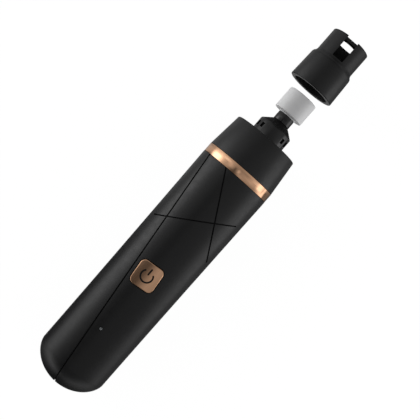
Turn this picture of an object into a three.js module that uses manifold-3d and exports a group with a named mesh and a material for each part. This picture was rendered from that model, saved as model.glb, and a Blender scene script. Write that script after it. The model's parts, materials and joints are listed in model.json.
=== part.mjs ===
// Cordless rotary nail grinder for pets. It lies on its back, button face up, with its guard cap pulled off
// in front of the grinding wheel. Millimetres, +Z up, +X from the rounded tail towards the wheel.
// Every piece is drawn about the handle's axis: x is the station from the tail tip, y is sideways and
// z is the height above the axis. The group at the end sets the whole grinder down on its back flat.
import * as THREE from 'three';
import { mergeVertices } from 'three/addons/utils/BufferGeometryUtils.js';
import Module from 'manifold-3d';

const wasm = await Module();
wasm.setup();

// Driving dimensions ------------------------------------------------------------------------------------

const AXIS_HEIGHT = 16.2;        // the axis above the flat that the grinder rests on
const ORIGIN_STATION = 66;       // the station that stands over the origin
const GAP = 0.3;                 // clearance between pieces that are pressed, screwed or laid together
const SEAM = 0.1;                // half the parting line between the housing halves

const TAIL_LENGTH = 12;          // rounded tail of the housing
const TAIL_POWER = 1.75;         // squareness of the tail's outline
const TAIL_RADIUS = 16.95;
const FRONT_RADIUS = 17.6;
const FLARE_POWER = 1.5;
const WALL = 2.4;
const HOUSING_END = 119.8;
const FRONT_STATION = HOUSING_END - SEAM;
const SPIGOT_RADIUS = 15;        // the housing's front neck, which carries the trim band and the collar
const SPIGOT_WALL = 1.6;
const SPIGOT_END = 127.5;

const BAND_END = 124.4;
const BAND_RADIUS = 17.54;
const COLLAR_BACK_RADIUS = 17.5;
const COLLAR_FRONT_RADIUS = 15.85;
const COLLAR_END = 141.1;
const COLLAR_PLATE = 2.1;
const COLLAR_EDGE = 0.45;

const BUSH_BORE = 1.2;           // round the motor shaft, in the motor's two bushes
const LEAD_RADIUS = 0.5;

const HUB_RADIUS = 8.25;
const HUB_SHOULDER = 147.45;
const HUB_END = 150.8;
const HUB_TIP_RADIUS = 4.2;
const HUB_FLANGE = { from: 136.6, to: 138.6, radius: 12 };
const HUB_BORE = { mouth: 6.2, mouthEnd: 143, bush: 4, bushEnd: 148, tip: 3 };
const POCKET = { width: 1.5, from: 143.4, to: 145.6, depth: 0.9, angles: [43, 67, 113, 137] };

const SLEEVE_RADIUS = 4.14;
const SLEEVE_END = 154.6;
const WHEEL = { back: 155.6, front: 166.1, radius: 7.1, edge: 0.4, bowlRadius: 5.4, bowlDepth: 5 };

const CAP = {
  mouth: 170.8,
  length: 27,
  mouthRadius: 11.2,
  skirtRadius: 10.67,
  skirtLength: 13.8,
  shoulder: 1.3,
  noseRadius: 9.53,
  mouthBore: 8.7,
  noseBore: 8.1,
  boreStep: 12,
  plate: 1.5,
  edge: 0.5,
  ribs: { inner: 8.42, outer: 9.4, halfAngle: 4.5, from: 1.5, to: 4.5, angles: [45, 135, 225, 315] },
};
const NAIL_SLOT = { width: 5.5, length: 10.95, corner: 0.6, floor: 5, floorRadius: 3.1 };
const NAIL_PORT = { width: 7.5, length: 2.15, top: 1.3, topRadius: 4.5 };

const BUTTON = { station: 63.1, length: 11.7, width: 11.4, corner: 2.4, turn: 6, gap: 0.3 };
const BUTTON_CROWN = { proud: 0.2, radius: 30 };
const BUTTON_FLANGE = { length: 14.8, width: 8, corner: 1, bottom: 12.7, top: 13.8 };
const SYMBOL = { radius: 2.76, stroke: 0.56, opening: 45, barFrom: 0.55, barTo: 3.85, depth: 0.3 };
const LENS = { station: 33.5, radius: 0.65 };
const GROOVE = { width: 0.5, depth: 0.4, reach: 15.55 };
const GROOVE_LINES = [            // [station, y] to [station, y], straight when seen from above
  [[120.5, 14.25], [-1, 0.25]],
  [[120.5, 5.5], [83.2, -15.6]],
  [[84.3, 15.4], [103.6, -14.9]],
];

const BOARD = { from: 24, to: 80, halfWidth: 9, bottom: 6.8, top: 8.4 };
const BOARD_SCREWS = [27.5, 76.5];
const HOUSING_SCREWS = [16.5, 91.3];
const CELL = { from: 21.5, to: 85.7, radius: 9, height: -4.4 };
const CELL_RIBS = [[30, 31.5], [74, 75.5]];
const MOTOR = { from: 98.6, to: 124.4, radius: 11.9, wall: 1, boss: 4.5, bossEnd: 125.9, capFrom: 96 };
const MOTOR_RIBS = [[101, 102.5], [114.5, 116]];
const MOTOR_SCREW_Y = 6.4;
const SHAFT_RADIUS = 1;

const SHELL_SIDES = 40;
const BORE_SIDES = 24;
const ROUND_SIDES = 24;
const SMALL_SIDES = 12;
const OUTLINE_STEPS = [7, 3];      // of the rounded tail and of the flare

// Materials ---------------------------------------------------------------------------------------------

function material(color, roughness, metalness) {
  return new THREE.MeshStandardMaterial({ color, roughness, metalness });
}

const satinBlack = material(0x1c1c1e, 0.45, 0);
const glossBlack = material(0x101012, 0.2, 0);
const roseGold = material(0xc08a64, 0.3, 1);
const greyAbrasive = material(0xc9c9c9, 0.9, 0);
const palePlastic = material(0xb4b4b6, 0.6, 0);
const clearLens = material(0xd8dee4, 0.1, 0);
const boardGreen = material(0x1f5a38, 0.6, 0);
const chipBlack = material(0x18181a, 0.6, 0);
const steel = material(0xb8bcc0, 0.35, 1);
const copper = material(0xb56a3a, 0.35, 1);
const bronze = material(0xa98b52, 0.5, 1);
const ferrite = material(0x3a3a3c, 0.8, 0);
const carbon = material(0x2a2a2a, 0.7, 0);
const cellWrap = material(0x2d6fa8, 0.45, 0);
const redLead = material(0xb02020, 0.5, 0);
const blackLead = material(0x151515, 0.5, 0);
const whiteNylon = material(0xd9d6cd, 0.6, 0);

// Solids ------------------------------------------------------------------------------------------------

const radians = THREE.MathUtils.degToRad;

function toSolid(geometry) {
  const bare = geometry.clone();
  bare.deleteAttribute('normal');
  bare.deleteAttribute('uv');
  const merged = mergeVertices(bare, 1e-4);
  const corners = merged.index.array;
  const kept = [];
  for (let i = 0; i < corners.length; i += 3) {
    const [a, b, c] = corners.slice(i, i + 3);
    if (a !== b && b !== c && c !== a) kept.push(a, b, c);
  }
  const vertProperties = new Float32Array(merged.attributes.position.array);
  return new wasm.Manifold(new wasm.Mesh({ numProp: 3, vertProperties, triVerts: new Uint32Array(kept) }));
}

function toGeometry(solid) {
  const mesh = solid.getMesh();
  const geometry = new THREE.BufferGeometry();
  geometry.setAttribute('position', new THREE.BufferAttribute(mesh.vertProperties, 3));
  geometry.setIndex(new THREE.BufferAttribute(mesh.triVerts, 1));
  geometry.computeVertexNormals();
  return geometry;
}

function lathe(outline, sides) {
  const points = outline.map(([along, radius]) => new THREE.Vector2(radius, along));
  if (THREE.ShapeUtils.area(points) < 0) points.reverse();
  const last = points[points.length - 1];
  if (points[0].x > 0 || last.x > 0) points.push(points[0].clone());
  return new THREE.LatheGeometry(points, sides);
}

// A solid turned about the handle's axis from an outline of [station, radius] points.
function turned(outline, sides = ROUND_SIDES) {
  return toSolid(lathe(outline, sides).rotateZ(-Math.PI / 2));
}

// A solid turned about an upright line through (x, y), from an outline of [z, radius] points.
function upright(x, y, outline, sides = SMALL_SIDES) {
  return toSolid(lathe(outline, sides).rotateX(Math.PI / 2).translate(x, y, 0));
}

// A solid turned about a line along the handle through (y, z), from an outline of [station, radius] points.
function lengthwise(y, z, outline, sides = SMALL_SIDES) {
  return toSolid(lathe(outline, sides).rotateZ(-Math.PI / 2).translate(0, y, z));
}

function rod(radius, from, to) {
  return [[from, 0], [from, radius], [to, radius], [to, 0]];
}

function ring(inner, outer, from, to) {
  return [[from, inner], [from, outer], [to, outer], [to, inner]];
}

function block([x0, x1], [y0, y1], [z0, z1]) {
  const box = new THREE.BoxGeometry(x1 - x0, y1 - y0, z1 - z0);
  return toSolid(box.translate((x0 + x1) / 2, (y0 + y1) / 2, (z0 + z1) / 2));
}

// A flat shape drawn in x and y, raised from z0 to z1.
function raised(shape, z0, z1, curveSegments = 3) {
  const options = { depth: z1 - z0, bevelEnabled: false, curveSegments };
  return new THREE.ExtrudeGeometry(shape, options).translate(0, 0, z0);
}

// A flat shape drawn in y and z, run from station x0 to x1.
function run(shape, x0, x1, curveSegments = 3) {
  const options = { depth: x1 - x0, bevelEnabled: false, curveSegments };
  const turn = new THREE.Matrix4().makeBasis(
    new THREE.Vector3(0, 1, 0), new THREE.Vector3(0, 0, 1), new THREE.Vector3(1, 0, 0));
  return new THREE.ExtrudeGeometry(shape, options).applyMatrix4(turn).translate(x0, 0, 0);
}

function roundedRectangle(length, width, corner) {
  const [a, b, r] = [length / 2, width / 2, corner];
  const shape = new THREE.Shape();
  shape.absarc(a - r, b - r, r, 0, Math.PI / 2);
  shape.absarc(-a + r, b - r, r, Math.PI / 2, Math.PI);
  shape.absarc(-a + r, -b + r, r, Math.PI, 1.5 * Math.PI);
  shape.absarc(a - r, -b + r, r, 1.5 * Math.PI, 2 * Math.PI);
  shape.closePath();
  return shape;
}

// Part of a ring between two angles, counted from the first drawing axis.
function ringSector(inner, outer, from, to) {
  const shape = new THREE.Shape();
  shape.absarc(0, 0, outer, radians(from), radians(to), false);
  shape.absarc(0, 0, inner, radians(to), radians(from), true);
  shape.closePath();
  return shape;
}

const grinder = new THREE.Group();

function add(name, solid, finish, group) {
  const mesh = new THREE.Mesh(toGeometry(solid), finish);
  mesh.name = name;
  group.add(mesh);
}

// Housing -----------------------------------------------------------------------------------------------

function housingRadius(station) {
  const along = Math.max(0, (station - TAIL_LENGTH) / (FRONT_STATION - TAIL_LENGTH));
  return TAIL_RADIUS + (FRONT_RADIUS - TAIL_RADIUS) * along ** FLARE_POWER;
}

// The handle's outside, set in by a distance, as [station, radius] points from the tail tip forwards.
function handleOutline(inset, [tailSteps, bodySteps]) {
  const points = [];
  const tail = TAIL_LENGTH - inset;
  for (let i = 0; i < tailSteps; i++) {
    const back = Math.cos((i / tailSteps) * Math.PI / 2);
    const radius = (TAIL_RADIUS - inset) * Math.sqrt(1 - back ** TAIL_POWER);
    points.push([TAIL_LENGTH - tail * back, radius]);
  }
  for (let i = 0; i <= bodySteps; i++) {
    const station = THREE.MathUtils.lerp(TAIL_LENGTH, FRONT_STATION, i / bodySteps);
    points.push([station, housingRadius(station) - inset]);
  }
  return points;
}

function housingShell() {
  const outside = handleOutline(0, OUTLINE_STEPS);
  outside.push([FRONT_STATION, SPIGOT_RADIUS], [SPIGOT_END, SPIGOT_RADIUS], [SPIGOT_END, 0]);
  const hollow = handleOutline(WALL, [5, 1]);
  const neckBore = SPIGOT_RADIUS - SPIGOT_WALL;
  hollow[hollow.length - 1][0] = FRONT_STATION - 2 * WALL;
  hollow.push([FRONT_STATION - WALL, neckBore], [SPIGOT_END + 1, neckBore], [SPIGOT_END + 1, 0]);
  return turned(outside, SHELL_SIDES).subtract(turned(hollow, BORE_SIDES));
}

const far = 30;
const everywhere = [-10, 230];

function upperHalf(solid) {
  return solid.intersect(block(everywhere, [-far, far], [SEAM, far]));
}

function lowerHalf(solid) {
  return solid.intersect(block(everywhere, [-far, far], [-AXIS_HEIGHT, -SEAM]));
}

function restFlat(solid) {
  return solid.intersect(block(everywhere, [-far, far], [-AXIS_HEIGHT, far]));
}

// The charging socket's opening in the tail, shared by the two halves.
function socketOpening() {
  return toSolid(run(roundedRectangle(9.6, 3.8, 1.85), -1, 4.5));
}

// A ring rib that holds the motor or the cell, between the inside of the shell and a round seat.
function seatRib(from, to, seatRadius, seatHeight) {
  const rib = turned(rod(housingRadius(from) - WALL + 0.4, from, to), SHELL_SIDES);
  return rib.subtract(lengthwise(0, seatHeight, rod(seatRadius, from - 1, to + 1), ROUND_SIDES));
}

function screwPost(station, radius, from, to) {
  return upright(station, 0, rod(radius, from, to));
}

function grooves() {
  const above = handleOutline(-1, OUTLINE_STEPS);
  const floor = handleOutline(GROOVE.depth, OUTLINE_STEPS).reverse();
  const skin = turned([...above, ...floor], SHELL_SIDES);
  let slabs = null;
  for (const [[x0, y0], [x1, y1]] of GROOVE_LINES) {
    const length = Math.hypot(x1 - x0, y1 - y0);
    const slab = new THREE.BoxGeometry(length, GROOVE.width, far);
    slab.rotateZ(Math.atan2(y1 - y0, x1 - x0));
    slab.translate((x0 + x1) / 2, (y0 + y1) / 2, far / 2 + 2);
    slabs = slabs ? slabs.add(toSolid(slab)) : toSolid(slab);
  }
  const across = [-GROOVE.reach, GROOVE.reach];
  return slabs.intersect(block(everywhere, across, [2, far])).intersect(skin);
}

function frontHousing() {
  let half = upperHalf(housingShell());
  for (const [from, to] of MOTOR_RIBS) {
    half = half.add(upperHalf(seatRib(from, to, MOTOR.radius + GAP, 0)));
  }
  for (const station of HOUSING_SCREWS) half = half.add(screwPost(station, 3, 0.5, 14.9));
  for (const station of BOARD_SCREWS) half = half.add(screwPost(station, 2.4, BOARD.top + GAP, 14.9));
  for (const station of HOUSING_SCREWS) half = half.subtract(screwPost(station, 1.35, 0, 7));
  for (const station of BOARD_SCREWS) half = half.subtract(screwPost(station, 1.2, BOARD.top, 13));
  const opening = roundedRectangle(
    BUTTON.length + 2 * BUTTON.gap, BUTTON.width + 2 * BUTTON.gap, BUTTON.corner + BUTTON.gap);
  const hole = raised(opening, 5, far).rotateZ(radians(BUTTON.turn)).translate(BUTTON.station, 0, 0);
  half = half.subtract(toSolid(hole));
  half = half.subtract(upright(LENS.station, 0, rod(LENS.radius + 0.2, 10, far)));
  return half.subtract(socketOpening()).subtract(grooves());
}

function rearHousing() {
  let half = lowerHalf(housingShell());
  for (const [from, to] of CELL_RIBS) {
    half = half.add(lowerHalf(seatRib(from, to, CELL.radius + GAP, CELL.height)));
  }
  for (const [from, to] of MOTOR_RIBS) {
    half = half.add(lowerHalf(seatRib(from, to, MOTOR.radius + GAP, 0)));
  }
  for (const side of [-1, 1]) {
    const ledge = [4 * side, 12 * side].sort((a, b) => a - b);
    half = half.add(block([6.5, 10.5], ledge, [-5, -3.4]));
  }
  for (const station of HOUSING_SCREWS) {
    half = half.add(screwPost(station, 3.5, -15.2, -0.5));
    half = half.subtract(screwPost(station, 1.45, -far, far));
    half = half.subtract(screwPost(station, 2.6, -far, -8.6));
  }
  return half.subtract(socketOpening());
}

function trimBand() {
  const outline = ring(SPIGOT_RADIUS + GAP, BAND_RADIUS, HOUSING_END + SEAM, BAND_END - SEAM);
  return restFlat(turned(outline, SHELL_SIDES));
}

function noseCollar() {
  const back = BAND_END + SEAM;
  const plate = COLLAR_END - COLLAR_PLATE;
  return restFlat(turned([
    [back, SPIGOT_RADIUS + GAP], [back, COLLAR_BACK_RADIUS],
    [COLLAR_END - COLLAR_EDGE, COLLAR_FRONT_RADIUS], [COLLAR_END, COLLAR_FRONT_RADIUS - COLLAR_EDGE],
    [COLLAR_END, HUB_RADIUS + GAP], [plate, HUB_RADIUS + GAP],
    [plate, 13.6], [SPIGOT_END + 1, 14.2], [SPIGOT_END + 1, SPIGOT_RADIUS + GAP],
  ], SHELL_SIDES));
}

function housingScrew(station) {
  const head = [[-10.6, 0], [-10.6, 1.9], [-10, 2.3], [-8.9, 2.3]];
  return upright(station, 0, [...head, [-8.9, 1.15], [6, 1.15], [6, 0]]);
}

// Nose --------------------------------------------------------------------------------------------------

function noseHub() {
  const { from, to, radius } = HUB_FLANGE;
  const outside = [
    [from, 0], [from, radius], [to, radius], [to, HUB_RADIUS],
    [HUB_SHOULDER, HUB_RADIUS], [HUB_END, HUB_TIP_RADIUS], [HUB_END, 0],
  ];
  const { mouth, mouthEnd, bush, bushEnd, tip } = HUB_BORE;
  const bore = [
    [from - 1, 0], [from - 1, mouth], [mouthEnd, mouth], [mouthEnd, bush],
    [bushEnd, bush], [bushEnd, tip], [HUB_END + 1, tip], [HUB_END + 1, 0],
  ];
  let hub = turned(outside, 32).subtract(turned(bore, 16));
  for (const angle of POCKET.angles) {
    for (const side of [-1, 1]) {
      const size = [POCKET.to - POCKET.from, POCKET.width, 2 * POCKET.depth];
      const pocket = new THREE.BoxGeometry(...size);
      pocket.translate((POCKET.from + POCKET.to) / 2, 0, HUB_RADIUS).rotateX(radians(side * angle));
      hub = hub.subtract(toSolid(pocket));
    }
  }
  return hub;
}

function motorBracket() {
  let bracket = turned([
    [124.7, 4.8], [124.7, 13.1], [126.7, 13.1], [126.7, 11], [136.3, 11], [136.3, 9],
    [126.7, 9], [126.7, 4.8],
  ]);
  for (const side of [-1, 1]) {
    bracket = bracket.subtract(lengthwise(side * MOTOR_SCREW_Y, 0, rod(1.4, 124, 128)));
  }
  return bracket;
}

function motorScrew(side) {
  const profile = [[122.6, 0], [122.6, 1.1], [127, 1.1], [127, 1.8], [128.2, 1.8], [128.2, 0]];
  return lengthwise(side * MOTOR_SCREW_Y, 0, profile);
}

// Motor -------------------------------------------------------------------------------------------------

function motorCan() {
  const front = MOTOR.to - MOTOR.wall;
  const bore = MOTOR.radius - MOTOR.wall;
  let can = turned([
    [MOTOR.from, bore], [MOTOR.from, MOTOR.radius], [MOTOR.to, MOTOR.radius],
    [MOTOR.to, MOTOR.boss], [MOTOR.bossEnd, MOTOR.boss], [MOTOR.bossEnd, 3.3],
    [front, 3.3], [front, bore],
  ]);
  for (const side of [-1, 1]) {
    can = can.subtract(lengthwise(side * MOTOR_SCREW_Y, 0, rod(1.4, 122, 125)));
  }
  return can;
}

function motorEndCap() {
  const face = MOTOR.from - GAP;
  return turned([
    [MOTOR.capFrom - 1, 3.3], [MOTOR.capFrom - 1, 4.6], [MOTOR.capFrom, 4.6], [MOTOR.capFrom, MOTOR.radius],
    [face, MOTOR.radius], [face, 3.3],
  ]);
}

function magnet(side) {
  const middle = side * 90;
  return toSolid(run(ringSector(8.9, 10.6, middle - 60, middle + 60), 101, 119, 6));
}

const POLES = [90, 210, 330];
const CORE = { from: 104, to: 116, root: 2.6, neck: 1.5, shoe: 6.2, radius: 8.4, arc: 50 };

function armatureCore() {
  let core = lengthwise(0, 0, rod(CORE.root, CORE.from, CORE.to));
  for (const angle of POLES) {
    const neck = new THREE.BoxGeometry(CORE.to - CORE.from, 2 * CORE.neck, CORE.shoe + 0.4);
    neck.translate((CORE.from + CORE.to) / 2, 0, (CORE.shoe + 0.4) / 2).rotateX(radians(angle - 90));
    const shoe = ringSector(CORE.shoe, CORE.radius, angle - CORE.arc, angle + CORE.arc);
    core = core.add(toSolid(neck)).add(toSolid(run(shoe, CORE.from, CORE.to, 4)));
  }
  return core.subtract(lengthwise(0, 0, rod(SHAFT_RADIUS + GAP, CORE.from - 1, CORE.to + 1)));
}

function armatureCoil(angle) {
  const middle = (CORE.from + CORE.to) / 2;
  const height = [3, 4.9];
  const outer = new THREE.BoxGeometry(CORE.to - CORE.from + 4.4, 6.4, height[1] - height[0]);
  const inner = new THREE.BoxGeometry(CORE.to - CORE.from + 0.8, 2 * CORE.neck + 0.8, 8);
  const coil = [outer, inner].map((box) =>
    toSolid(box.translate(middle, 0, (height[0] + height[1]) / 2).rotateX(radians(angle - 90))));
  return coil[0].subtract(coil[1]);
}

// Spindle -----------------------------------------------------------------------------------------------

function arbor() {
  return turned([
    [136.8, SHAFT_RADIUS + GAP], [136.8, 2.4], [HUB_END + GAP, 2.4], [HUB_END + GAP, SLEEVE_RADIUS],
    [SLEEVE_END, SLEEVE_RADIUS], [SLEEVE_END, 1.6], [159.2, 1.6], [159.2, 0],
    [149.5, 0], [149.5, SHAFT_RADIUS + GAP],
  ]);
}

function wheelCore() {
  const flange = SLEEVE_END + GAP;
  return turned([
    [flange, 1.9], [flange, 4.05], [WHEEL.back - GAP, 4.05], [WHEEL.back - GAP, 2.95],
    [159.4, 2.95], [159.4, 1.9],
  ]);
}

function grindingWheel() {
  const { back, front, radius, edge, bowlRadius, bowlDepth } = WHEEL;
  const sphere = (bowlRadius ** 2 + bowlDepth ** 2) / (2 * bowlDepth);
  const centre = front - bowlDepth + sphere;
  const bowl = [];
  const steps = 6;
  for (let i = 1; i <= steps; i++) {
    const angle = Math.acos((centre - front) / sphere) * (1 - i / steps);
    bowl.push([centre - sphere * Math.cos(angle), sphere * Math.sin(angle)]);
  }
  return turned([
    [159.8, 0], [159.8, 3.2], [back, 3.2], [back, radius - edge / 2], [back + edge / 2, radius],
    [front - edge, radius], [front, radius - edge], [front, bowlRadius], ...bowl,
  ], 28);
}

// Guard cap ---------------------------------------------------------------------------------------------

// The slot that a nail passes through in the side wall, carried on into the end plate to a rounded floor.
function nailSlot() {
  const { mouth, length, plate, noseRadius } = CAP;
  const front = mouth + length;
  const { width, corner, floor, floorRadius } = NAIL_SLOT;
  const wallCut = roundedRectangle(NAIL_SLOT.length + 5, width, corner);
  const middle = front - NAIL_SLOT.length + (NAIL_SLOT.length + 5) / 2;
  const side = toSolid(raised(wallCut, noseRadius - 4.5, far).translate(middle, 0, 0));
  const half = width / 2;
  const bend = Math.asin(half / floorRadius);
  const shape = new THREE.Shape();
  shape.moveTo(half, far);
  shape.lineTo(-half, far);
  shape.absarc(0, floor + floorRadius, floorRadius, -Math.PI / 2 - bend, -Math.PI / 2 + bend, false);
  shape.closePath();
  return side.add(toSolid(run(shape, front - plate - 0.5, front + 5)));
}

// The wider port opposite, through the end plate and the edge of the side wall.
function nailPort() {
  const { mouth, length } = CAP;
  const front = mouth + length;
  const { width, top, topRadius } = NAIL_PORT;
  const half = width / 2;
  const bend = Math.asin(half / topRadius);
  const shape = new THREE.Shape();
  shape.moveTo(-half, -far);
  shape.lineTo(half, -far);
  shape.absarc(0, top - topRadius, topRadius, Math.PI / 2 - bend, Math.PI / 2 + bend, false);
  shape.closePath();
  return toSolid(run(shape, front - NAIL_PORT.length, front + 5));
}

function guardCap() {
  const { mouth, length, mouthRadius, skirtRadius, skirtLength, shoulder, noseRadius } = CAP;
  const { mouthBore, noseBore, boreStep, plate, edge, ribs } = CAP;
  const front = mouth + length;
  const step = mouth + skirtLength;
  const outside = [
    [mouth, mouthRadius - 0.2], [mouth + 0.2, mouthRadius], [step - 0.3, skirtRadius],
    [step + 0.15, skirtRadius - 0.15], [step + shoulder, noseRadius],
  ];
  outside.push([front - edge, noseRadius], [front - edge * 0.3, noseRadius - edge * 0.3]);
  outside.push([front, noseRadius - edge], [front, 0]);
  const inside = [
    [front - plate, 0], [front - plate, noseBore], [mouth + boreStep + 0.8, noseBore],
    [mouth + boreStep, mouthBore], [mouth + 0.6, mouthBore], [mouth, mouthBore + 0.6],
  ];
  let cap = turned([...outside, ...inside], 32).subtract(nailSlot()).subtract(nailPort());
  for (const angle of ribs.angles) {
    const section = ringSector(ribs.inner, ribs.outer, angle - ribs.halfAngle, angle + ribs.halfAngle);
    cap = cap.add(toSolid(run(section, mouth + ribs.from, mouth + ribs.to, 1)));
  }
  return cap;
}

// Button and board --------------------------------------------------------------------------------------

function symbolPrism() {
  const { radius, stroke, opening, barFrom, barTo } = SYMBOL;
  const arc = ringSector(radius - stroke / 2, radius + stroke / 2, opening, 360 - opening);
  const bar = new THREE.Shape();
  bar.moveTo(barFrom, -stroke / 2);
  bar.lineTo(barTo, -stroke / 2);
  bar.lineTo(barTo, stroke / 2);
  bar.lineTo(barFrom, stroke / 2);
  bar.closePath();
  return toSolid(raised(arc, 10, far, 10)).add(toSolid(raised(bar, 10, far)));
}

// The inside of the button's crown, set in by a distance.
function crown(inset) {
  const middle = housingRadius(BUTTON.station) + BUTTON_CROWN.proud - BUTTON_CROWN.radius;
  return lengthwise(0, middle, rod(BUTTON_CROWN.radius - inset, -BUTTON.length, BUTTON.length), 144);
}

function powerButton() {
  const { length, width, corner, bottom, top } = BUTTON_FLANGE;
  const pad = raised(roundedRectangle(BUTTON.length, BUTTON.width, BUTTON.corner), 13.4, far);
  pad.rotateZ(radians(BUTTON.turn));
  const engraved = symbolPrism().subtract(crown(SYMBOL.depth));
  const flange = toSolid(raised(roundedRectangle(length, width, corner), bottom, top));
  return toSolid(pad).intersect(crown(0)).subtract(engraved).add(flange);
}

function onBoard(length, width, height, station, y) {
  const bottom = BOARD.top + GAP;
  const half = [length / 2, width / 2];
  const across = [y - half[1], y + half[1]];
  return block([station - half[0], station + half[0]], across, [bottom, bottom + height]);
}

function circuitBoard() {
  let board = block([BOARD.from, BOARD.to], [-BOARD.halfWidth, BOARD.halfWidth], [BOARD.bottom, BOARD.top]);
  for (const station of BOARD_SCREWS) board = board.subtract(screwPost(station, 1.2, 0, far));
  return board;
}

function switchBody() {
  return onBoard(6.2, 6.2, 3.1, BUTTON.station, 0).subtract(screwPost(BUTTON.station, 2, 9.8, far));
}

function boardScrew(station) {
  const head = BOARD.bottom - GAP;
  const profile = [[head - 1.3, 0], [head - 1.3, 1.8], [head, 1.8], [head, 0.9], [12.4, 0.9], [12.4, 0]];
  return upright(station, 0, profile, 12);
}

function lightPipe() {
  const top = housingRadius(LENS.station);
  const profile = [[10, 0], [10, LENS.radius], [13, LENS.radius], [13, 1.6], [14, 1.6], [14, LENS.radius]];
  return upright(LENS.station, 0, [...profile, [top, LENS.radius], [top, 0]]);
}

// Charging socket and cell ------------------------------------------------------------------------------

function socketShell() {
  const shell = toSolid(run(roundedRectangle(8.94, 3.2, 1.5), 1.2, 8.6));
  return shell.subtract(toSolid(run(roundedRectangle(8.34, 2.6, 1.2), 0, 8)));
}

function batteryCell() {
  const { from, to, radius } = CELL;
  const can = [[from, 0], [from, radius - 0.5], [from + 0.5, radius], [to - 0.5, radius], [to, radius - 0.5]];
  return lengthwise(0, CELL.height, [...can, [to, 3.2], [to + 0.8, 3.2], [to + 0.8, 0]], ROUND_SIDES);
}

// Leads -------------------------------------------------------------------------------------------------

function lead(points) {
  const path = new THREE.CatmullRomCurve3(points.map((p) => new THREE.Vector3(...p)));
  const section = new THREE.Shape();
  section.absarc(0, 0, LEAD_RADIUS, 0, 2 * Math.PI);
  const options = { extrudePath: path, steps: 9, curveSegments: 4, bevelEnabled: false };
  return toSolid(new THREE.ExtrudeGeometry(section, options));
}

function motorLead(side) {
  return lead([[75, 5 * side, 9.3], [82, 6 * side, 9.1], [89, 7.5 * side, 6], [93.8, 6.7 * side, 1.9]]);
}

function chargeLead(side) {
  return lead([
    [11.5, 3 * side, -1.05], [14.5, 5.8 * side, 0.5], [19.5, 8 * side, 4.2],
    [22.6, 8 * side, 8.4], [28, 7 * side, 9.3],
  ]);
}

// The bench list ----------------------------------------------------------------------------------------

add('front_housing', frontHousing(), satinBlack, grinder);
add('rear_housing', rearHousing(), satinBlack, grinder);
add('trim_band', trimBand(), roseGold, grinder);
add('nose_collar', noseCollar(), satinBlack, grinder);
add('nose_hub', noseHub(), glossBlack, grinder);
add('nose_bush', turned(ring(2.65, 3.7, 143.6, 147.7)), bronze, grinder);
HOUSING_SCREWS.forEach((station, i) =>
  add(['housing_screw_tail', 'housing_screw_middle'][i], housingScrew(station), steel, grinder));

add('motor_bracket', motorBracket(), whiteNylon, grinder);
add('motor_can', motorCan(), steel, grinder);
add('motor_end_cap', motorEndCap(), whiteNylon, grinder);
add('motor_front_bush', turned(ring(BUSH_BORE, 3, 123.2, 125.8), 16), bronze, grinder);
add('motor_rear_bush', turned(ring(BUSH_BORE, 3, 95.3, 98.2), 16), bronze, grinder);
[[1, 'upper'], [-1, 'lower']].forEach(([side, word]) =>
  add(`motor_magnet_${word}`, magnet(side), ferrite, grinder));
[[1, 'left'], [-1, 'right']].forEach(([side, word]) => {
  const across = (from, to) => [side * from, side * to].sort((a, b) => a - b);
  add(`motor_screw_${word}`, motorScrew(side), steel, grinder);
  add(`motor_brush_${word}`, block([99.3, 100.9], across(3.5, 5.8), [-1, 1]), carbon, grinder);
  add(`motor_terminal_${word}`, block([92.6, 95.7], across(6.2, 7.2), [-1, 1]), copper, grinder);
  add(`motor_lead_${word}`, motorLead(side), side > 0 ? redLead : blackLead, grinder);
  add(`charge_lead_${word}`, chargeLead(side), side > 0 ? redLead : blackLead, grinder);
});

add('battery_cell', batteryCell(), cellWrap, grinder);
add('battery_tab_positive', block([86.8, 87.2], [-3.5, 3.5], [-9, 1]), steel, grinder);
add('battery_tab_negative', block([20.8, 21.2], [-3.5, 3.5], [-9, 1]), steel, grinder);
add('battery_lead_positive',
  lead([[88, 2, -2], [88.4, 5, 2], [85, 6.5, 5], [76, 6.5, 5.9]]), redLead, grinder);
add('battery_lead_negative',
  lead([[20, -3, -3], [19.8, -5.5, 1.6], [22.5, -6.3, 5], [29, -6.3, 5.9]]), blackLead, grinder);
add('charge_board', block([4, 12.9], [-5.5, 5.5], [-3.1, -1.9]), boardGreen, grinder);
add('charge_socket_shell', socketShell(), steel, grinder);
add('charge_socket_tongue', block([2.2, 7.7], [-3.3, 3.3], [-0.35, 0.35]), chipBlack, grinder);

add('circuit_board', circuitBoard(), boardGreen, grinder);
BOARD_SCREWS.forEach((station, i) =>
  add(['board_screw_tail', 'board_screw_front'][i], boardScrew(station), steel, grinder));
add('switch_body', switchBody(), chipBlack, grinder);
add('control_chip', onBoard(5, 4, 1.4, 50, 0), chipBlack, grinder);
add('inductor', onBoard(5, 5, 3, 69, 2), ferrite, grinder);
add('capacitor', upright(43, -4, rod(2, BOARD.top + GAP, 12.4)), steel, grinder);
add('status_led', onBoard(3.2, 1.6, 1, LENS.station, 0), palePlastic, grinder);
add('indicator_lens', lightPipe(), clearLens, grinder);

const button = new THREE.Group();
button.position.x = BUTTON.station;
grinder.add(button);
add('power_button', powerButton(), roseGold, button);
add('switch_plunger', upright(0, 0, rod(1.6, 10.4, 12.4)), chipBlack, button);

const spindle = new THREE.Group();
grinder.add(spindle);
add('motor_shaft', turned(rod(SHAFT_RADIUS, 94.9, 149.2), 12), steel, spindle);
add('commutator', turned(ring(SHAFT_RADIUS + GAP, 3.2, 98.9, 101.2), 18), copper, spindle);
add('armature_core', armatureCore(), steel, spindle);
POLES.forEach((angle, i) => add(`armature_coil_${i + 1}`, armatureCoil(angle), copper, spindle));
add('arbor', arbor(), glossBlack, spindle);
add('wheel_core', wheelCore(), palePlastic, spindle);
add('grinding_wheel', grindingWheel(), greyAbrasive, spindle);

const cap = new THREE.Group();
grinder.add(cap);
add('guard_cap', guardCap(), satinBlack, cap);

grinder.position.set(-ORIGIN_STATION, 0, AXIS_HEIGHT);
export default grinder;
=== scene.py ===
import json
import math

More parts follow.
